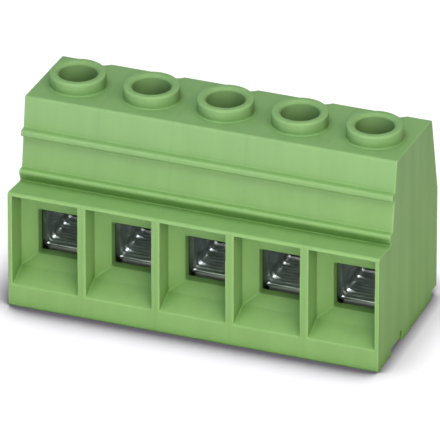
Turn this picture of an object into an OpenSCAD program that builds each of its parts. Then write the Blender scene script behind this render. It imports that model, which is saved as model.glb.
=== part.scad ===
// Board terminal block in one row: a moulded housing with a screw clamp, a tension
// sleeve and a contact bar for every wire.
// Origin: middle of the solder pin pattern, on the board. X runs along the row,
// the wires enter from -Y, and the screws are reached from +Z.

/* [Row] */
// Number of wire positions
poles = 5; // [2:1:8]
// Distance from one position to the next
pitch = 10.16; // [9.9:0.02:12]

/* [Housing] */
// Depth from the wire side to the rear face
housing_depth = 22.4; // [21.4:0.1:26]
// Height of the wire side up to the shoulder
shoulder_h = 16.6; // [16.2:0.1:17.2]
// Depth of the shoulder in front of the tower
shoulder_depth = 5.0; // [4.6:0.1:5.6]
// Fall of the shoulder towards the tower
shoulder_fall = 0.5; // [0:0.1:0.8]
// Height of the tower at its front edge
tower_h = 27.4; // [26.6:0.1:30]
// Lean of the tower's front face, degrees
face_lean = 8.3; // [6:0.1:10]
// Fall of the top towards the rear, degrees
top_fall = 3.1; // [0:0.1:5]
// Height where the rear face starts to lean forward
rear_bend_h = 15.6; // [13:0.1:20]
// Lean of the upper rear face, degrees
rear_lean = 11.7; // [6:0.1:13]
// Edge radius of the moulding
edge_r = 0.35; // [0.1:0.05:0.6]

/* [Marker rail] */
// Height of the lower rail's upper side
rail_low_z = 17.8; // [17.6:0.1:18.4]
// Height of the upper rail's upper side
rail_high_z = 23.2; // [22:0.1:24.4]
// How far a rail stands out of the face
rail_out = 1.0; // [0.5:0.05:1.3]
// Height of the lower rail's edge
rail_low_edge = 0.5; // [0.45:0.01:0.6]
// Height of the upper rail's edge
rail_high_edge = 0.7; // [0.6:0.01:0.8]
// Radius along the upper side of a rail's edge
rail_round = 0.3; // [0.1:0.02:0.35]
// Height of the upper rail's root on the face
rail_root = 1.35; // [1.1:0.05:1.4]
// How far the lower rail's slope reaches onto the shoulder
rail_foot = 0.3; // [0.1:0.05:0.5]

/* [Feet] */
// Depth of the front foot
front_foot = 4.9; // [3.5:0.1:5.6]
// Where the rear foot starts, from the wire side
rear_foot_start = 9.2; // [8.6:0.1:10]
// Where the rear foot ends, from the wire side
rear_foot_end = 20.4; // [20.2:0.1:21.2]
// Height of the channel between the feet
channel_h = 0.9; // [0.5:0.1:1.3]
// Height of the relief slot in front of the rear foot
relief_h = 1.7; // [1.4:0.1:2.5]
// Width of the relief slot
relief_w = 0.9; // [0.5:0.1:1.2]
// Height of the step under the rear face
rear_step_h = 1.2; // [0.8:0.1:2]

/* [Wire entry] */
// Width of the entry pocket
pocket_w = 9.0; // [8:0.1:9.2]
// Height of the pocket's sill above the board
sill_z = 3.2; // [2.6:0.1:3.8]
// Height left above the pocket
lintel_h = 0.5; // [0.4:0.1:1.2]
// Depth of the pocket
pocket_depth = 3.3; // [2.6:0.1:3.8]
// Rise of the pocket's floor towards its back
sill_rise = 1.3; // [0.6:0.1:1.6]
// Depth of the taper behind the pocket
taper_depth = 1.75; // [1.2:0.05:2]
// Width of the window into the clamp
window_w = 5.6; // [5:0.1:6]
// Height of the window into the clamp
window_h = 6.55; // [6.2:0.05:7]

/* [Tension sleeve] */
// Outer width of the sleeve
sleeve_w = 7.1; // [6.6:0.1:7.4]
// Length of the sleeve along the wire
sleeve_len = 7.8; // [7.2:0.1:8.4]
// Thickness of the steel strip
strip_t = 0.6; // [0.5:0.05:0.8]
// Inner radius of the sleeve's folds
fold_r = 0.5; // [0.3:0.05:0.8]
// Height of the sleeve's underside, with the clamp open
sleeve_z = 4.6; // [4.4:0.1:4.8]
// Free height over the ribs, with the clamp open
clamp_open = 5.9; // [5.7:0.1:6.2]
// Height of a grip rib on the sleeve's floor
grip_h = 0.2; // [0.1:0.02:0.3]
// Distance between grip ribs
grip_pitch = 0.75; // [0.6:0.05:1]
// How far the lead-in lip reaches in front of the sleeve
lip_out = 0.9; // [0.5:0.05:1]
// Width of the lead-in lip
lip_w = 5.2; // [4.4:0.1:5.6]

/* [Clamping screw] */
// Distance of the screws from the wire side
screw_y = 12.4; // [12.2:0.1:12.8]
// Thread diameter
thread_d = 4.0; // [3.5:0.1:4.2]
// Thread pitch
thread_pitch = 0.7; // [0.5:0.05:0.7]
// Turns between the open and the closed clamp
screw_turns = 8; // [5:1:8]
// Diameter of the screw's head
head_d = 6.2; // [5.8:0.1:6.4]
// Height of the screw's head
head_h = 2.4; // [2:0.1:2.6]
// Width of the driver slot
slot_w = 1.0; // [0.8:0.1:1.2]
// Depth of the driver slot
slot_depth = 1.1; // [0.8:0.1:1.3]

/* [Driver guide] */
// Diameter of the driver hole
guide_d = 5.05; // [4.6:0.05:5.4]
// Outer diameter of the collar
collar_d = 7.4; // [6.8:0.1:8]
// Height of the collar's rim above the board
collar_z = 29.05; // [28.6:0.05:31]
// Radius of the drain groove behind each collar
drain_r = 3.45; // [2.5:0.05:5]
// Depth of the drain groove
drain_depth = 0.48; // [0.2:0.02:0.7]

/* [Contact bar] */
// Thickness of the contact bar
bar_t = 1.0; // [0.8:0.05:1.2]
// Width of the clamping leg
bar_w = 4.4; // [3.8:0.1:4.6]
// Distance between a position's two solder pins
pin_span = 10.16; // [9.8:0.02:10.4]
// Width of a solder pin
pin_w = 1.2; // [0.9:0.05:1.5]
// Length of a solder pin below the board face
pin_len = 4.6; // [3:0.1:6]
// Height of the lower leg above the board face
leg_z = 1.9; // [1.7:0.05:2]

/* [Clearances] */
// Gap between the sleeve and its chamber
sleeve_gap = 0.2; // [0.1:0.05:0.3]
// Radial gap between the screw and the sleeve's thread
thread_gap = 0.05; // [0.02:0.01:0.09]
// Radial gap between the screw's head and its bore
head_gap = 0.2; // [0.1:0.05:0.3]
// Gap between the contact bar and the chamber
bar_gap = 0.1; // [0.05:0.05:0.2]

/* [Hidden] */

eps = 0.01;
round_fn = 64;
arc_steps = 4;
housing_green = [0.50, 0.68, 0.39];
zinc_grey = [0.66, 0.69, 0.68];
steel_grey = [0.72, 0.73, 0.74];
tin_grey = [0.80, 0.80, 0.78];

// Row
row_w = poles * pitch;

// Clamp heights, from the open sleeve upwards
travel = screw_turns * thread_pitch;
floor_z = sleeve_z + strip_t;
bar_z = floor_z + grip_h + clamp_open;
bar_top = bar_z + bar_t;
lap_gap = 0.05;
roof_z = bar_top + sleeve_gap;
sleeve_top = roof_z + 2 * strip_t + lap_gap;
tip_gap = 0.1;
head_z = sleeve_top + travel + sleeve_gap;
chamber_top = head_z + tip_gap;
head_top = head_z + head_h;
head_bore_top = head_top + 2 * head_gap;

// Clamp depths, from the wire side
sleeve_front = screw_y - sleeve_len / 2;
sleeve_rear = screw_y + sleeve_len / 2;
chamber_front = sleeve_front - lip_out - 1.2;
shaft_rear = sleeve_rear + sleeve_gap;
chamber_w = sleeve_w + 2 * sleeve_gap;

// Contact depths
leg_w = chamber_w - 2 * bar_gap;
pin_front_y = chamber_front + bar_gap + bar_t / 2;
pin_rear_y = pin_front_y + pin_span;
bend_r = 0.5;
bar_rear = pin_rear_y + bar_t / 2 + bend_r + bar_t + 0.3;
pocket_rear = bar_rear + bar_gap;
pattern_y = (pin_front_y + pin_rear_y) / 2;
pin_chamfer = 0.3;

// Outline of the housing
face_slope = tan(face_lean);
shoulder_z = shoulder_h - shoulder_fall;
top_rear_y = housing_depth - (tower_h - rear_bend_h) * tan(rear_lean);
function face_y(z) = shoulder_depth + (z - shoulder_z) * face_slope;
function top_z(y) = tower_h - (y - face_y(tower_h)) * tan(top_fall);

// Unit vector of v
function unit(v) = v / norm(v);

// Points of the arc that rounds corner b, between neighbours a and c, with radius r
function corner(a, b, c, r) =
    r == 0 ? [b] :
    let (
        u = unit(a - b),
        v = unit(c - b),
        half = acos(u * v) / 2,
        centre = b + unit(u + v) * r / sin(half),
        from = b + u * r / tan(half) - centre,
        to = b + v * r / tan(half) - centre,
        sweep = acos(unit(from) * unit(to)),
        turn = sign(from[0] * to[1] - from[1] * to[0])
    )
    [for (i = [0:arc_steps])
        let (t = turn * sweep * i / arc_steps)
        centre + [from[0] * cos(t) - from[1] * sin(t), from[0] * sin(t) + from[1] * cos(t)]];

// Closed outline through points [x, y, r], each corner rounded with its own r
function rounded(p) = [
    for (i = [0:len(p) - 1])
        let (
            a = p[(i + len(p) - 1) % len(p)],
            b = p[i],
            c = p[(i + 1) % len(p)]
        )
        each corner([a[0], a[1]], [b[0], b[1]], [c[0], c[1]], b[2])
];

// A depth and height outline, drawn from the wire side, given a width along the row
module across(w, outline) {
    rotate([90, 0, 90])
        translate([0, 0, -w / 2])
            linear_extrude(w) polygon(outline);
}

// A plan outline, with x along the row and y from the wire side, given a height range
module upright(z0, z1, outline) {
    translate([0, 0, z0]) linear_extrude(z1 - z0) polygon(outline);
}

// A block between two depths and two heights, centred on its position in the row
module block(w, y0, y1, z0, z1) {
    translate([-w / 2, y0, z0]) cube([w, y1 - y0, z1 - z0]);
}

// Places the children at position k of the row, with depths counted from the wire side
module at_pole(k) {
    translate([(k - (poles + 1) / 2) * pitch, -pattern_y, 0]) children();
}

// Side outline of the moulding: wire side, shoulder, marker rails, tower, rear and feet
function housing_outline() = rounded([
    [0, 0, edge_r],
    [0.15, shoulder_h, edge_r],
    [face_y(shoulder_z) - rail_foot, shoulder_z, 0.1],
    [face_y(rail_low_z) - rail_out, rail_low_z - rail_low_edge, 0.12],
    [face_y(rail_low_z) - rail_out, rail_low_z, rail_round],
    [face_y(rail_low_z), rail_low_z, 0.15],
    [face_y(rail_high_z - rail_root), rail_high_z - rail_root, 0.1],
    [face_y(rail_high_z) - rail_out, rail_high_z - 0.1 - rail_high_edge, 0.15],
    [face_y(rail_high_z) - rail_out, rail_high_z - 0.1, rail_round],
    [face_y(rail_high_z), rail_high_z, 0.12],
    [face_y(tower_h), tower_h, edge_r],
    [top_rear_y, top_z(top_rear_y), edge_r],
    [housing_depth, rear_bend_h, 2],
    [housing_depth, rear_step_h, edge_r / 2],
    [rear_foot_end, rear_step_h, 0],
    [rear_foot_end, 0, edge_r / 2],
    [rear_foot_start, 0, 0],
    [rear_foot_start, relief_h, 0.2],
    [rear_foot_start - relief_w, relief_h, 0.2],
    [rear_foot_start - relief_w, channel_h, 0],
    [front_foot, channel_h, 0.4],
    [front_foot, 0, 0]
]);

// Funnel for the wire: pocket, taper, and window through to the clamp chamber
module wire_entry() {
    taper_end = pocket_depth + taper_depth;
    window_z = floor_z + grip_h + 0.2;
    ceiling = shoulder_h - lintel_h;
    intersection() {
        across(pocket_w, [
            [-1, sill_z], [0, sill_z],
            [pocket_depth, sill_z + sill_rise],
            [taper_end, window_z],
            [chamber_front + eps, window_z],
            [chamber_front + eps, bar_z],
            [taper_end, window_z + window_h],
            [pocket_depth, ceiling - 0.3],
            [0, ceiling], [-1, ceiling]
        ]);
        upright(0, shoulder_h, [
            [-pocket_w / 2, -1], [-pocket_w / 2, pocket_depth],
            [-window_w / 2, taper_end], [-window_w / 2, chamber_front + eps],
            [window_w / 2, chamber_front + eps], [window_w / 2, taper_end],
            [pocket_w / 2, pocket_depth], [pocket_w / 2, -1]
        ]);
    }
}

// Hollow for the sleeve's travel, and the pocket behind it for the contact bar
module clamp_chamber() {
    block(chamber_w, chamber_front, shaft_rear, -1, chamber_top);
    block(chamber_w, shaft_rear - eps, pocket_rear, -1, bar_top + bar_gap / 2);
}

// Stepped bore over the chamber: the screw's head turns in the wide part
module screw_bore() {
    translate([0, screw_y, chamber_top - eps])
        cylinder(h = head_bore_top - chamber_top + eps, d = head_d + 2 * head_gap, $fn = round_fn);
    translate([0, screw_y, head_bore_top - eps])
        cylinder(h = collar_z - head_bore_top + 1, d = guide_d, $fn = round_fn);
    rim_chamfer = 0.35;
    translate([0, screw_y, collar_z - rim_chamfer])
        cylinder(h = 2 * rim_chamfer, d1 = guide_d, d2 = guide_d + 4 * rim_chamfer, $fn = round_fn);
}

// Collar that guides the driver into the bore, rooted in the sloping top
module driver_collar() {
    root = tower_h - 2;
    translate([0, screw_y, 0])
        rotate_extrude($fn = round_fn)
            polygon(concat(
                [[0, collar_z], [0, root], [collar_d / 2, root]],
                corner([collar_d / 2, root], [collar_d / 2, collar_z], [0, collar_z], 0.3)
            ));
}

// Shallow groove from the collar over the rear edge, parallel to the top
module drain_groove() {
    translate([0, screw_y, top_z(screw_y) - drain_depth + drain_r])
        rotate([-90 - top_fall, 0, 0])
            cylinder(h = housing_depth, r = drain_r, $fn = round_fn);
}

// Nibs on the chamber's side walls that the contact bar snaps behind
module snap_nibs() {
    nib_out = 0.3;
    nib_y = (rear_foot_start + shaft_rear) / 2;
    for (side = [-1, 1])
        translate([side * chamber_w / 2, nib_y, leg_z])
            rotate([90, 0, 0])
                linear_extrude(3, center = true)
                    polygon([[side * eps, 0], [-side * nib_out, 0], [side * eps, -1]]);
}

// One-piece moulded housing
module housing() {
    color(housing_green) {
        difference() {
            union() {
                difference() {
                    translate([0, -pattern_y, 0]) across(row_w, housing_outline());
                    for (k = [1:poles]) at_pole(k) drain_groove();
                }
                for (k = [1:poles]) at_pole(k) driver_collar();
            }
            for (k = [1:poles]) at_pole(k) {
                wire_entry();
                clamp_chamber();
                screw_bore();
            }
        }
        for (k = [1:poles]) at_pole(k) snap_nibs();
    }
}

// Captive slotted screw: its head turns in the bore and its tip stands on the contact bar
module clamp_screw() {
    tip_z = bar_top + tip_gap;
    tip_chamfer = 0.5;
    shank_r = thread_d / 2 - thread_gap / 2;
    head_chamfer = 0.3;
    color(steel_grey)
        difference() {
            translate([0, screw_y, 0])
                rotate_extrude($fn = round_fn)
                    polygon([
                        [0, tip_z], [shank_r - tip_chamfer, tip_z], [shank_r, tip_z + tip_chamfer],
                        [shank_r, head_z], [head_d / 2, head_z],
                        [head_d / 2, head_top - head_chamfer], [head_d / 2 - head_chamfer, head_top],
                        [0, head_top]
                    ]);
            translate([-head_d, screw_y - slot_w / 2, head_top - slot_depth])
                cube([2 * head_d, slot_w, slot_depth + 1]);
        }
}

// Outline of the folded strip, seen along the wire: floor, two walls and the lapped roof
function sleeve_outline() =
    let (
        half = sleeve_w / 2,
        inner = half - strip_t,
        outer_r = fold_r + strip_t,
        lap_z = roof_z + strip_t,
        lap_end = inner - fold_r - 0.1
    )
    rounded([
        [-half + 0.1, sleeve_top, 0],
        [half, sleeve_top, outer_r],
        [half, sleeve_z, outer_r],
        [-half, sleeve_z, outer_r],
        [-half, lap_z, outer_r],
        [lap_end, lap_z, 0],
        [lap_end, roof_z, 0],
        [-inner, roof_z, fold_r],
        [-inner, floor_z, fold_r],
        [inner, floor_z, fold_r],
        [inner, lap_z + lap_gap, fold_r],
        [-half + 0.1, lap_z + lap_gap, 0]
    ]);

// Lip bent down in front of the floor, which leads the wire in
module lead_in_lip() {
    lip_drop = lip_out * 1.1;
    slant = strip_t * 0.75;
    across(lip_w, rounded([
        [sleeve_front + 0.5, floor_z, 0],
        [sleeve_front, floor_z, 0.5],
        [sleeve_front - lip_out, floor_z - lip_drop, 0.15],
        [sleeve_front - lip_out + slant, floor_z - lip_drop - slant / 2, 0.15],
        [sleeve_front + 0.5, sleeve_z, 0.4],
        [sleeve_front + 1, sleeve_z, 0]
    ]));
}

// Rows of pointed ribs across the floor, which grip the wire
module grip_ribs() {
    count = floor((sleeve_len - 1) / grip_pitch);
    first = screw_y - (count - 1) * grip_pitch / 2;
    rib = grip_pitch / 3;
    for (i = [0:count - 1])
        translate([0, first + i * grip_pitch, floor_z])
            across(sleeve_w - 2 * strip_t, [[-rib, -eps], [0, grip_h], [rib, -eps]]);
}

// Tension sleeve folded from one steel strip, with the thread through its lapped roof
module tension_sleeve() {
    color(zinc_grey)
        difference() {
            union() {
                translate([0, sleeve_rear, 0])
                    rotate([90, 0, 0]) linear_extrude(sleeve_len) polygon(sleeve_outline());
                lead_in_lip();
                grip_ribs();
            }
            translate([0, screw_y, roof_z - 0.5])
                cylinder(h = sleeve_top - roof_z + 1, d = thread_d + thread_gap, $fn = round_fn);
        }
}

// Solder pin, tapered at its tip; root is its own outline above the lower leg's underside
module solder_pin(y, root) {
    tip = -pin_len;
    intersection() {
        across(pin_w, concat(
            root,
            [[y + bar_t / 2, tip + pin_chamfer], [y + bar_t / 2 - pin_chamfer, tip],
             [y - bar_t / 2 + pin_chamfer, tip], [y - bar_t / 2, tip + pin_chamfer]]
        ));
        rotate([90, 0, 0])
            linear_extrude(4 * housing_depth, center = true)
                polygon([
                    [-pin_w / 2, leg_z + bar_t + 1], [-pin_w / 2, tip + 2 * pin_chamfer],
                    [-pin_w / 2 + pin_chamfer, tip], [pin_w / 2 - pin_chamfer, tip],
                    [pin_w / 2, tip + 2 * pin_chamfer], [pin_w / 2, leg_z + bar_t + 1]
                ]);
    }
}

// Contact bar stamped and bent from one strip: clamping leg, back, lower leg and two pins
module contact_bar() {
    outer_r = bend_r + bar_t;
    leg_top = leg_z + bar_t;
    leg_front = pin_front_y + bar_t / 2 + bend_r + 0.3;
    bar_front = sleeve_front - 0.5;
    lance = pin_w + 0.3;
    color(tin_grey) {
        difference() {
            across(leg_w, rounded([
                [bar_front, bar_top, 0.3],
                [bar_rear, bar_top, outer_r],
                [bar_rear, leg_z, outer_r],
                [leg_front, leg_z, 0],
                [leg_front, leg_top, 0],
                [bar_rear - bar_t, leg_top, bend_r],
                [bar_rear - bar_t, bar_z, bend_r],
                [bar_front, bar_z, 0.3]
            ]));
            for (side = [-1, 1])
                translate([side * (bar_w + leg_w) / 2, 0, 0])
                    block(leg_w, 0, shaft_rear + 0.3, bar_z - 1, bar_top + 1);
            block(lance, pin_rear_y - pin_len - leg_z, pin_rear_y + bar_t / 2, leg_z - 1, leg_top + 1);
        }
        solder_pin(pin_front_y, rounded_root(leg_front, -1));
        solder_pin(pin_rear_y, rounded_root(pin_rear_y + bar_t / 2 + bend_r, 1));
    }
}

// Bend from the lower leg into a pin, as the start of the pin's outline
function rounded_root(leg_y, rear) =
    let (
        y = rear > 0 ? pin_rear_y : pin_front_y,
        outer = [y - bar_t / 2, leg_z + bar_t],
        inner = [y + bar_t / 2, leg_z]
    )
    concat(
        corner([outer[0], -1], outer, [leg_y, outer[1]], bend_r + bar_t),
        [[leg_y + eps, outer[1]], [leg_y + eps, inner[1]]],
        corner([leg_y, inner[1]], inner, [inner[0], -1], bend_r)
    );

housing();
for (k = [1:poles]) {
    at_pole(k) clamp_screw();
    at_pole(k) tension_sleeve();
    at_pole(k) contact_bar();
}
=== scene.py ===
import math

import bmesh
import bpy
import numpy as np
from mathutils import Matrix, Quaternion, Vector


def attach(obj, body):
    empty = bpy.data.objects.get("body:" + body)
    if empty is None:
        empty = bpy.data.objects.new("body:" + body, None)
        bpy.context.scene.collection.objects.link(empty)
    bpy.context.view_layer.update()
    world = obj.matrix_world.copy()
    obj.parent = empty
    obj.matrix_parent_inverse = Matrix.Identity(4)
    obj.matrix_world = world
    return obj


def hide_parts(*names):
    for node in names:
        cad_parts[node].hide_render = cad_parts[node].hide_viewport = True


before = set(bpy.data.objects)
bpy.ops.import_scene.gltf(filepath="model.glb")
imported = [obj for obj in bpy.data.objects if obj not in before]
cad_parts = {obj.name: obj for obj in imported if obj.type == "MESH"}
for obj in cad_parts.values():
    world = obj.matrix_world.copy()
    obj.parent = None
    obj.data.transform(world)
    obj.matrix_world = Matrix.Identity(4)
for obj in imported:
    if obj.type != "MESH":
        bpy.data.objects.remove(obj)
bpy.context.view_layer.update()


# ---------------------------------------------------------------- camera
# A long lens on a stand, a little above the terminal and round to its right,
# so that the row runs away to the right and the wire side faces the lens.
MM = 0.001
CAMERA_AZIMUTH = math.radians(20.67)
CAMERA_ELEVATION = math.radians(28.89)
CAMERA_ROLL = math.radians(-0.12)
CAMERA_DISTANCE = 1.2301
CAMERA_LENS = 781.2

camera_back = Vector((
    math.sin(CAMERA_AZIMUTH) * math.cos(CAMERA_ELEVATION),
    -math.cos(CAMERA_AZIMUTH) * math.cos(CAMERA_ELEVATION),
    math.sin(CAMERA_ELEVATION),
))
camera_right = Vector((math.cos(CAMERA_AZIMUTH), math.sin(CAMERA_AZIMUTH), 0))
camera_up = camera_back.cross(camera_right)
aim = Vector((0, 0, 14.0 * MM)) - camera_right * 0.646 * MM - camera_up * 2.407 * MM

camera_data = bpy.data.cameras.new("camera")
camera_data.lens = CAMERA_LENS
camera_data.sensor_width = 36
camera_data.clip_start = 0.01
camera_data.clip_end = 20
camera = bpy.data.objects.new("camera", camera_data)
bpy.context.scene.collection.objects.link(camera)
camera.location = aim + camera_back * CAMERA_DISTANCE
camera.rotation_mode = "QUATERNION"
camera.rotation_quaternion = (
    (-camera_back).to_track_quat("-Z", "Y") @ Quaternion((0, 0, 1), CAMERA_ROLL)
)
bpy.context.scene.camera = camera
bpy.context.scene.view_settings.view_transform = "Standard"


# ---------------------------------------------------------------- studio
# A white table in a light tent: the pins are through the table, as they would
# be through a board, and big soft lamps stand in front of it and to the sides.
def node(tree, kind, *inputs, **settings):
    """Adds a node of that kind. Each input is (socket name or number, a value or another node's output)."""
    made = tree.nodes.new("ShaderNode" + kind)
    for name, value in settings.items():
        setattr(made, name, value)
    for socket, value in inputs:
        if isinstance(value, bpy.types.NodeSocket):
            tree.links.new(value, made.inputs[socket])
        else:
            made.inputs[socket].default_value = value
    return made


def empty_material(name):
    """A new material with nothing but its output node: (material, node tree, output)."""
    material = bpy.data.materials.new(name)
    material.use_nodes = True
    material.node_tree.nodes.clear()
    output = material.node_tree.nodes.new("ShaderNodeOutputMaterial")
    return material, material.node_tree, output


def rays_that_see(tree):
    """1 for the rays that look at the backdrop, straight or in a reflection, and 0 for the others."""
    path = node(tree, "LightPath").outputs
    seen = node(tree, "Math", (0, path["Is Camera Ray"]), (1, path["Is Glossy Ray"]), operation="MAXIMUM")
    seen = node(tree, "Math", (0, seen.outputs[0]), (1, path["Is Transmission Ray"]), operation="MAXIMUM")
    return seen.outputs[0]


TABLE_HALF = 1.5
TABLE_OWN_LIGHT = 0.96
TABLE_LAMP_SHARE = 0.16
CONTACT_REACH = 8 * MM
ROW_END = 25 * MM


def table_finish():
    """White card. Its own light makes it plain white, and the lamps' share of it carries the wide shadow.
    The narrow dark shadow at the foot of the object, which is half as strong past the end of the row,
    comes from how closed in each point of the table is."""
    material, tree, output = empty_material("white_table")
    closed_in = node(tree, "AmbientOcclusion", ("Distance", CONTACT_REACH), samples=16)
    tint = node(tree, "ValToRGB", (0, closed_in.outputs["AO"]))
    stops = tint.color_ramp.elements
    stops[0].position, stops[0].color = 0.56, (0.12, 0.11, 0.13, 1)
    stops[1].position, stops[1].color = 0.985, (1, 1, 1, 1)
    for position, grey in ((0.66, 0.27), (0.78, 0.60), (0.92, 0.93)):
        stops.new(position).color = (grey, grey * 0.98, grey * 1.02, 1)
    place = node(tree, "TexCoord")
    place = node(tree, "SeparateXYZ", (0, place.outputs["Object"]))
    past_end = node(
        tree, "MapRange",
        ("Value", place.outputs["X"]), ("From Min", ROW_END), ("From Max", ROW_END + 2 * MM), ("To Max", 0.5),
    )
    white = (1, 1, 1, 1)
    paler = node(tree, "Mix", (0, past_end.outputs[0]), (6, tint.outputs[0]), (7, white), data_type="RGBA")
    share = node(tree, "VectorMath", (0, paler.outputs[2]), ("Scale", TABLE_LAMP_SHARE), operation="SCALE")
    own = node(tree, "Emission", ("Color", paler.outputs[2]), ("Strength", TABLE_OWN_LIGHT))
    lit = node(tree, "BsdfDiffuse", ("Color", share.outputs[0]))
    shown = node(tree, "AddShader", (0, own.outputs[0]), (1, lit.outputs[0]))
    thrown = node(tree, "BsdfDiffuse", ("Color", (0.8, 0.8, 0.8, 1)))
    front = node(tree, "MixShader", (0, rays_that_see(tree)), (1, thrown.outputs[0]), (2, shown.outputs[0]))
    below = node(tree, "NewGeometry").outputs["Backfacing"]
    through = node(tree, "BsdfTransparent")
    both = node(tree, "MixShader", (0, below), (1, front.outputs[0]), (2, through.outputs[0]))
    tree.links.new(both.outputs[0], output.inputs["Surface"])
    return material


table_mesh = bpy.data.meshes.new("table")
table_corners = [(-1, -1), (1, -1), (1, 1), (-1, 1)]
table_mesh.from_pydata([(TABLE_HALF * x, TABLE_HALF * y, 0) for x, y in table_corners], [], [(0, 1, 2, 3)])
table = bpy.data.objects.new("table", table_mesh)
table_mesh.materials.append(table_finish())
bpy.context.scene.collection.objects.link(table)

world = bpy.data.worlds.new("tent")
world.use_nodes = True
bpy.context.scene.world = world
world.node_tree.nodes.clear()
TENT_LIGHT = 0.02
TENT_SEEN = 1.0
tent_tree = world.node_tree
dim = node(tent_tree, "Background", ("Color", (1, 1, 1, 1)), ("Strength", TENT_LIGHT))
bright = node(tent_tree, "Background", ("Color", (1, 1, 1, 1)), ("Strength", TENT_SEEN))
tent = node(tent_tree, "MixShader", (0, rays_that_see(tent_tree)), (1, dim.outputs[0]), (2, bright.outputs[0]))
node(tent_tree, "OutputWorld", ("Surface", tent.outputs[0]))


def lamp(name, azimuth, elevation, distance, size, watts, colour):
    """A square soft box that looks at the middle of the terminal. Its azimuth is in degrees round from the
    wire side, to the right where positive."""
    data = bpy.data.lights.new(name, "AREA")
    data.shape, data.size = "SQUARE", size
    data.energy, data.color = watts, colour
    a, e = math.radians(azimuth), math.radians(elevation)
    out = Vector((math.sin(a) * math.cos(e), -math.cos(a) * math.cos(e), math.sin(e)))
    made = bpy.data.objects.new(name, data)
    made.location = Vector((0, 0, 12 * MM)) + out * distance
    made.rotation_mode = "QUATERNION"
    made.rotation_quaternion = (-out).to_track_quat("-Z", "Y")
    bpy.context.scene.collection.objects.link(made)


lamp("front_lamp", 12, 10, 0.8, 0.5, 3.6, (0.86, 0.83, 1.0))
lamp("right_lamp", 55, 45, 0.35, 0.25, 0.34, (1.0, 0.98, 0.76))
lamp("low_right_lamp", 45, 12, 0.8, 0.5, 1.7, (1.0, 0.90, 0.78))
lamp("high_lamp", 0, 74, 0.8, 0.5, 3.8, (0.93, 0.98, 1.0))
lamp("left_lamp", -100, 38, 0.8, 0.5, 0.60, (0.54, 0.88, 1.0))

# A low white card in front of the terminal throws light up under the rails and the lintels.
card_light = bpy.data.lights.new("white_card", "AREA")
card_light.shape, card_light.size, card_light.size_y = "RECTANGLE", 0.30, 0.14
card_light.energy, card_light.color = 0.25, (0.91, 0.80, 1.0)
card = bpy.data.objects.new("white_card", card_light)
card.location = (-0.03, -0.14, 0.001)
card.rotation_euler = (math.pi, 0, 0)
card.visible_camera = False
bpy.context.scene.collection.objects.link(card)


# ---------------------------------------------------------------- housing
# One moulding of green polyamide for the whole row, straight from a polished
# and finely eroded tool, with every edge left slightly round by the tool.
def joined_copy(cad, name, crease=math.pi):
    """A new piece with the CAD node's own surface: the loose triangles joined, smooth up to that angle."""
    shape = bmesh.new()
    shape.from_mesh(cad.data)
    bmesh.ops.remove_doubles(shape, verts=shape.verts, dist=1e-6)
    mesh = bpy.data.meshes.new(name)
    shape.to_mesh(mesh)
    shape.free()
    mesh.shade_smooth()
    if crease < math.pi:
        mesh.set_sharp_from_angle(angle=crease)
    piece = bpy.data.objects.new(name, mesh)
    bpy.context.scene.collection.objects.link(piece)
    return piece


def moulded_edges(piece, grid, passes, share):
    """Draws the surface anew on a fine grid and eases it a few times, so that every edge and corner is left
    a little round, as the tool leaves it; then takes away the points that the flat faces don't need."""
    skin = piece.modifiers.new("skin", "REMESH")
    skin.mode, skin.voxel_size, skin.use_smooth_shade = "VOXEL", grid, True
    easing = piece.modifiers.new("easing", "SMOOTH")
    easing.factor, easing.iterations = 0.5, passes
    thinning = piece.modifiers.new("thinning", "DECIMATE")
    thinning.ratio = share
    flats = piece.modifiers.new("flat_faces", "WEIGHTED_NORMAL")
    flats.keep_sharp = False
    flats.weight = 50


def in_mm(tree):
    """The place on the piece, in millimetres."""
    place = node(tree, "TexCoord")
    per_mm = (1 / MM, 1 / MM, 1 / MM)
    return node(tree, "Mapping", ("Vector", place.outputs["Object"]), ("Scale", per_mm)).outputs[0]


def axis(tree, vector, name):
    """One part, X, Y or Z, of a vector."""
    return node(tree, "SeparateXYZ", (0, vector)).outputs[name]


def noise(tree, place, scale, detail, stretch=(1, 1, 1)):
    """Noise with scale lumps to the millimetre, 0.5 on average, drawn out where stretch is under 1."""
    drawn = node(tree, "Mapping", ("Vector", place), ("Scale", stretch))
    lumps = node(tree, "TexNoise", ("Vector", drawn.outputs[0]), ("Scale", scale), ("Detail", detail))
    return lumps.outputs[0]


def spread(tree, value, low, high, start=0.3, end=0.7):
    """Takes the value from between start and end to between low and high, and holds it there."""
    made = node(
        tree, "MapRange",
        ("Value", value), ("From Min", start), ("From Max", end), ("To Min", low), ("To Max", high),
    )
    return made.outputs[0]


def blend(tree, amount, first, second, kind="MIX"):
    """Colour first where the amount is 0 and second where it is 1, or their product for kind MULTIPLY."""
    made = node(tree, "Mix", (0, amount), (6, first), (7, second), data_type="RGBA", blend_type=kind)
    return made.outputs[2]


def tone(tree, colour, value):
    """The colour times a plain value."""
    scale = node(tree, "VectorMath", (0, colour), ("Scale", value), operation="SCALE")
    return scale.outputs[0]


def relief(tree, height, depth_mm, strength, under=None):
    """A bump that is depth_mm deep, over another one where that is given."""
    made = node(tree, "Bump", ("Height", height), ("Distance", depth_mm * MM), ("Strength", strength))
    if under is not None:
        tree.links.new(under, made.inputs["Normal"])
    return made.outputs[0]


POLE_PITCH = 10.16


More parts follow.
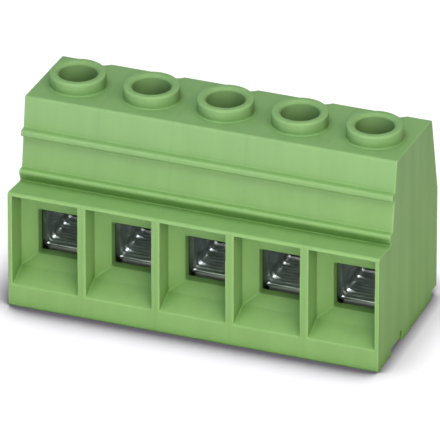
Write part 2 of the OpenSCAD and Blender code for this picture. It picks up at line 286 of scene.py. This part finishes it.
def polyamide_finish():
    """Green polyamide: bluer at the top than at the foot, cloudy, with flow marks up the walls, a faint
    darker line where two positions meet, uneven darker bands on the end walls, and the tool's fine grain.
    Shade is painted into the green in corners, under the rails and in the bores, and highlights are painted
    paler along the outer edges."""
    material, tree, output = empty_material("green_polyamide")
    place = in_mm(tree)
    cloud = noise(tree, place, 0.12, 3)
    flow = noise(tree, place, 0.55, 2, (1, 1, 0.10))
    grain = noise(tree, place, 6.5, 3)
    height = spread(tree, axis(tree, place, "Z"), 0, 1, 11, 26)
    blueness = node(tree, "Math", (0, height), (1, spread(tree, cloud, -0.25, 0.25)), operation="ADD")
    colour = blend(tree, blueness.outputs[0], (0.241, 0.420, 0.140, 1), (0.238, 0.408, 0.160, 1))

    pole = node(
        tree, "Math", (0, axis(tree, place, "X")), (1, 1 / POLE_PITCH), (2, 0.5), operation="MULTIPLY_ADD",
    )
    pole = node(tree, "Math", (0, pole.outputs[0]), operation="FRACT")
    off_centre = node(tree, "Math", (0, pole.outputs[0]), (1, 0.5), operation="SUBTRACT")
    off_centre = node(tree, "Math", (0, off_centre.outputs[0]), operation="ABSOLUTE")
    colour = tone(tree, colour, spread(tree, off_centre.outputs[0], 1, 0.97, 0.465, 0.495))

    facing = node(tree, "NewGeometry")
    end_wall = node(tree, "Math", (0, axis(tree, facing.outputs["Normal"], "X")), operation="ABSOLUTE")
    end_wall = spread(tree, end_wall.outputs[0], 0, 1, 0.8, 0.95)
    bands = spread(tree, noise(tree, place, 0.32, 1, (0, 1, 0.02)), -0.14, 0)
    banded = node(tree, "Math", (0, bands), (1, end_wall), (2, 1), operation="MULTIPLY_ADD")
    colour = tone(tree, colour, banded.outputs[0])
    colour = tone(tree, colour, spread(tree, flow, 0.975, 1.03))
    colour = tone(tree, colour, spread(tree, grain, 0.975, 1.025))

    # Painted shade: where the surface is closed in (corners, under the rails, the bores), the green is
    # multiplied darker.
    corner = node(tree, "AmbientOcclusion", ("Distance", 3 * MM), samples=4)
    openness = spread(tree, corner.outputs["AO"], 0, 1, 0.20, 0.82)
    painted_corner_shade = blend(tree, openness, (0.28, 0.46, 0.16, 1), (1, 1, 1, 1))
    colour = blend(tree, 1.0, colour, painted_corner_shade, "MULTIPLY")
    # Painted highlight: along convex edges, where rays from inside leave soon, the green is made up to 1.3
    # times paler.
    edge = node(tree, "AmbientOcclusion", ("Distance", 0.30 * MM), samples=4, inside=True)
    colour = tone(tree, colour, spread(tree, edge.outputs["AO"], 1.30, 1.0, 0.50, 0.95))

    broad = relief(tree, noise(tree, place, 0.4, 2), 0.05, 1.0)
    fine = relief(tree, grain, 0.012, 0.8, broad)
    surface = node(
        tree, "BsdfPrincipled",
        ("Base Color", colour), ("Roughness", spread(tree, cloud, 0.46, 0.58)),
        ("Specular IOR Level", 0.08), ("Normal", fine),
    )
    tree.links.new(surface.outputs[0], output.inputs["Surface"])
    return material


green_polyamide = polyamide_finish()
housing = joined_copy(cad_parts["housing"], "housing_moulding")
moulded_edges(housing, 0.09 * MM, 2, 0.065)
housing.data.materials.append(green_polyamide)
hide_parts("housing")
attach(housing, "root")


# ---------------------------------------------------------------- tension sleeves
# Each sleeve is one strip of zinc-plated steel, folded into a cage with its ends
# lapped over the screw's thread, and its floor is stamped with ribs that grip the wire.
POLES = 5
STRIP = 0.6
SLEEVE_FLOOR = 5.2
SLEEVE_HALF = 2.95
SLEEVE_FRONT = -3.58
FOLD_RADIUS = 0.5
RIB_PITCH = 0.75
RIB_HEIGHT = 0.2
RIB_HALF_BASE = 0.25
FIRST_RIB = -2.68
RIBS = 9
RIB_STEPS = 12
STAKE_PITCH = 1.9
STAKE_HEIGHT = 0.3
STAKE_HALF_LENGTH = 0.3
SKIN_OUT = 0.012
SKIN_IN = 0.2
SKIN_WALL = 1.5


def zinc_strip_finish():
    """Zinc-plated strip: cloudy blue-grey and brownish, drawn out along the rolling, and dull on the bent lip,
    which carries a painted dark reflection in a nearly black colour.
    """
    material, tree, output = empty_material("zinc_strip")
    place = in_mm(tree)
    cloud = noise(tree, place, 0.7, 3)
    rolled = noise(tree, place, 4, 2, (0.15, 1, 1))
    colour = blend(tree, spread(tree, cloud, 0, 1), (0.52, 0.57, 0.52, 1), (0.66, 0.76, 0.70, 1))
    # Painted reflection: the bent lip is coloured nearly black for the dark roof that it mirrors.
    lip = spread(tree, axis(tree, place, "Y"), 0, 1, SLEEVE_FRONT - 0.05, SLEEVE_FRONT - 0.35)
    colour = blend(tree, lip, colour, (0.17, 0.17, 0.155, 1))
    dull = spread(tree, rolled, 0.30, 0.46)
    dull = node(tree, "Math", (0, lip), (1, 0.22), (2, dull), operation="MULTIPLY_ADD")
    surface = node(
        tree, "BsdfPrincipled",
        ("Base Color", colour), ("Metallic", 1.0), ("Roughness", dull.outputs[0]),
        ("Normal", relief(tree, rolled, 0.01, 0.6)),
    )
    tree.links.new(surface.outputs[0], output.inputs["Surface"])
    return material


def closed_piece(name, points, faces, crease):
    """A new piece from points in millimetres and a closed set of faces, with its normals turned outwards."""
    mesh = bpy.data.meshes.new(name)
    mesh.from_pydata((points * MM).tolist(), [], faces)
    shape = bmesh.new()
    shape.from_mesh(mesh)
    bmesh.ops.recalc_face_normals(shape, faces=shape.faces)
    shape.to_mesh(mesh)
    shape.free()
    mesh.shade_smooth()
    mesh.set_sharp_from_angle(angle=crease)
    piece = bpy.data.objects.new(name, mesh)
    bpy.context.scene.collection.objects.link(piece)
    return piece


def grip_ribs(name, centre_x):
    """The stamped floor of the sleeve, as a closed skin over the strip. Its section runs down one wall, round
    the fold, over the floor and up the other wall. The skin stands over the strip by
    skin out + rib height x rib x fade + stake height x stake x at fold, where
    rib is 1 - distance to the nearest rib / half base, not under 0,
    fade is 1 over the floor and the folds, and falls to 0 over 0.7 mm of the wall,
    stake is 1 - distance to the nearest stake / half length, not under 0, and
    at fold is 1.25 - distance to the middle of the fold / 0.9, held from 0 to 1, to the power 0.7."""
    turn = FOLD_RADIUS * math.pi / 2
    flat = 2 * (SLEEVE_HALF - FOLD_RADIUS)
    bounds = np.cumsum([0, SKIN_WALL, turn, flat, turn, SKIN_WALL])
    counts = (9, 8, 13, 8, 9)
    stretches = [np.linspace(bounds[i], bounds[i + 1], counts[i] + 1)[1:] for i in range(len(counts))]
    s = np.concatenate([[0]] + stretches)
    middle = bounds[-1] / 2
    away = np.abs(s - middle) - flat / 2
    side = np.sign(s - middle)
    angle = np.clip(away, 0, turn) / FOLD_RADIUS
    rise = np.clip(away - turn, 0, None)
    x = side * (np.clip(np.abs(s - middle), 0, flat / 2) + FOLD_RADIUS * np.sin(angle))
    z = SLEEVE_FLOOR + FOLD_RADIUS * (1 - np.cos(angle)) + rise
    inward_x, inward_z = -side * np.sin(angle), np.cos(angle)

    steps = np.arange(-3, RIB_STEPS * (RIBS - 1) + 4)
    y = FIRST_RIB + steps * RIB_PITCH / RIB_STEPS
    half = RIB_STEPS // 2
    off = np.abs((steps + half) % RIB_STEPS - half) * RIB_PITCH / RIB_STEPS
    rib = np.clip(1 - off / RIB_HALF_BASE, 0, 1)
    fade = np.clip(1 - np.clip(away - turn, 0, None) / 0.7, 0, 1)
    along = (y - FIRST_RIB + 0.1) % STAKE_PITCH - STAKE_PITCH / 2
    stake = np.clip(1 - np.abs(along) / STAKE_HALF_LENGTH, 0, 1)
    at_fold = np.clip(1.25 - np.abs(away - turn / 2) / 0.9, 0, 1) ** 0.7
    lift = SKIN_OUT + RIB_HEIGHT * rib[None, :] * fade[:, None]
    lift = lift + STAKE_HEIGHT * stake[None, :] * at_fold[:, None]

    def sheet(lift):
        shape = np.empty((len(s), len(y), 3))
        shape[..., 0] = centre_x + x[:, None] + inward_x[:, None] * lift
        shape[..., 1] = y[None, :]
        shape[..., 2] = z[:, None] + inward_z[:, None] * lift
        return shape

    count = len(s) * len(y)
    grid = np.arange(count).reshape(len(s), len(y))
    quads = np.stack([grid[:-1, :-1], grid[1:, :-1], grid[1:, 1:], grid[:-1, 1:]], -1).reshape(-1, 4)
    rim = np.concatenate([grid[0, :], grid[1:, -1], grid[-1, -2::-1], grid[-2:0:-1, 0]])
    after = np.roll(rim, -1)
    walls = np.stack([rim, after, after + count, rim + count], -1)
    faces = np.concatenate([quads, quads[:, ::-1] + count, walls]).tolist()
    points = np.concatenate([sheet(lift).reshape(-1, 3), sheet(-SKIN_IN * np.ones_like(lift)).reshape(-1, 3)])
    return closed_piece(name, points, faces, math.radians(25))


zinc_strip = zinc_strip_finish()
for k in range(1, POLES + 1):
    strip = joined_copy(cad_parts[f"tension_sleeve_{k}"], f"sleeve_strip_{k}", math.radians(35))
    strip.data.materials.append(zinc_strip)
    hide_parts(f"tension_sleeve_{k}")
    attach(strip, f"sleeve_{k}")
    ribs = grip_ribs(f"grip_ribs_{k}", (k - (POLES + 1) / 2) * POLE_PITCH)
    ribs.data.materials.append(zinc_strip)
    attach(ribs, f"sleeve_{k}")


# ---------------------------------------------------------------- clamping screws
# A rolled steel screw, zinc plated and passivated: the slotted head stays in its
# bore in the housing, and the M4 thread draws the sleeve up.
THREAD_PITCH = 0.7
THREAD_OUTER = 1.975
THREAD_ROOT = 1.55
TIP_RADIUS = 1.45
HEAD_HEIGHT = 2.4
HEAD_CUT = 0.06
SHANK_IN_HEAD = 0.3
SHANK_ROWS = 180
SHANK_SEGMENTS = 48


def screw_finish():
    """Passivated zinc: a cloudy warm grey with a faint yellow cast and finely turned marks."""
    material, tree, output = empty_material("passivated_screw")
    place = in_mm(tree)
    cloud = noise(tree, place, 0.9, 3)
    turned = noise(tree, place, 7, 1, (0.2, 0.2, 1))
    colour = blend(tree, spread(tree, cloud, 0, 1), (0.46, 0.44, 0.38, 1), (0.60, 0.61, 0.60, 1))
    surface = node(
        tree, "BsdfPrincipled",
        ("Base Color", colour), ("Metallic", 1.0), ("Roughness", spread(tree, turned, 0.22, 0.40)),
        ("Normal", relief(tree, turned, 0.012, 0.6)),
    )
    tree.links.new(surface.outputs[0], output.inputs["Surface"])
    return material


def screw_with_thread(cad, name):
    """The CAD screw's own head over a shank with a rolled thread. At angle a and height z, the shank's radius
    is root + (outer - root) x tooth. The tooth rises and falls once as z / pitch - a / 360 degrees grows
    by 1, with a flat crest and root, and a 45 degree chamfer cuts the tip."""
    flat = np.empty(3 * len(cad.data.vertices))
    cad.data.vertices.foreach_get("co", flat)
    corners = flat.reshape(-1, 3) / MM
    low, high = corners.min(0), corners.max(0)
    axis_x, axis_y = (low[:2] + high[:2]) / 2
    head_z = high[2] - HEAD_HEIGHT

    z = np.linspace(low[2], head_z + SHANK_IN_HEAD, SHANK_ROWS)[:, None]
    a = np.linspace(0, 2 * math.pi, SHANK_SEGMENTS, endpoint=False)[None, :]
    phase = (z / THREAD_PITCH - a / (2 * math.pi)) % 1
    tooth = np.clip((1 - np.abs(2 * phase - 1) - 0.12) / 0.72, 0, 1)
    radius = THREAD_ROOT + (THREAD_OUTER - THREAD_ROOT) * tooth
    radius = np.minimum(radius, TIP_RADIUS + (z - low[2]))
    shank = np.stack([axis_x + radius * np.cos(a), axis_y + radius * np.sin(a), z + 0 * a], -1).reshape(-1, 3)
    grid = np.arange(SHANK_ROWS * SHANK_SEGMENTS).reshape(SHANK_ROWS, SHANK_SEGMENTS)
    right = np.roll(grid, -1, axis=1)
    quads = np.stack([grid[:-1], right[:-1], right[1:], grid[1:]], -1).reshape(-1, 4).tolist()
    ends = [grid[0][::-1].tolist(), grid[-1].tolist()]
    thread = closed_piece(name, shank, quads + ends, math.radians(50))

    head = bmesh.new()
    head.from_mesh(cad.data)
    bmesh.ops.remove_doubles(head, verts=head.verts, dist=1e-6)
    everything = head.verts[:] + head.edges[:] + head.faces[:]
    cut = (0, 0, (head_z - HEAD_CUT) * MM)
    bmesh.ops.bisect_plane(head, geom=everything, plane_co=cut, plane_no=(0, 0, 1), clear_inner=True)
    bmesh.ops.holes_fill(head, edges=[e for e in head.edges if e.is_boundary])
    bmesh.ops.recalc_face_normals(head, faces=head.faces)
    head.from_mesh(thread.data)
    head.to_mesh(thread.data)
    head.free()
    thread.data.shade_smooth()
    thread.data.set_sharp_from_angle(angle=math.radians(30))
    return thread


passivated_screw = screw_finish()
for k in range(1, POLES + 1):
    screw = screw_with_thread(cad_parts[f"clamp_screw_{k}"], f"threaded_screw_{k}")
    screw.data.materials.append(passivated_screw)
    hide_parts(f"clamp_screw_{k}")
    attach(screw, f"screw_{k}")


# ---------------------------------------------------------------- contact bars
# Each bar is stamped from copper strip, bent round the sleeve's path and tin
# plated, and its two ends are the solder pins.
def tin_finish():
    """Matt tin: pale and faintly warm, cloudy, with long drawing marks."""
    material, tree, output = empty_material("tin_plate")
    place = in_mm(tree)
    cloud = noise(tree, place, 0.8, 4)
    drawn = noise(tree, place, 5, 2, (1, 0.15, 0.15))
    colour = blend(tree, spread(tree, cloud, 0, 1), (0.58, 0.56, 0.52, 1), (0.74, 0.74, 0.72, 1))
    surface = node(
        tree, "BsdfPrincipled",
        ("Base Color", colour), ("Metallic", 1.0), ("Roughness", spread(tree, cloud, 0.30, 0.46)),
        ("Normal", relief(tree, drawn, 0.01, 0.6)),
    )
    tree.links.new(surface.outputs[0], output.inputs["Surface"])
    return material


tin_plate = tin_finish()
for k in range(1, POLES + 1):
    bar = joined_copy(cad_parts[f"contact_bar_{k}"], f"tinned_bar_{k}", math.radians(35))
    bar.data.materials.append(tin_plate)
    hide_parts(f"contact_bar_{k}")
    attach(bar, "root")
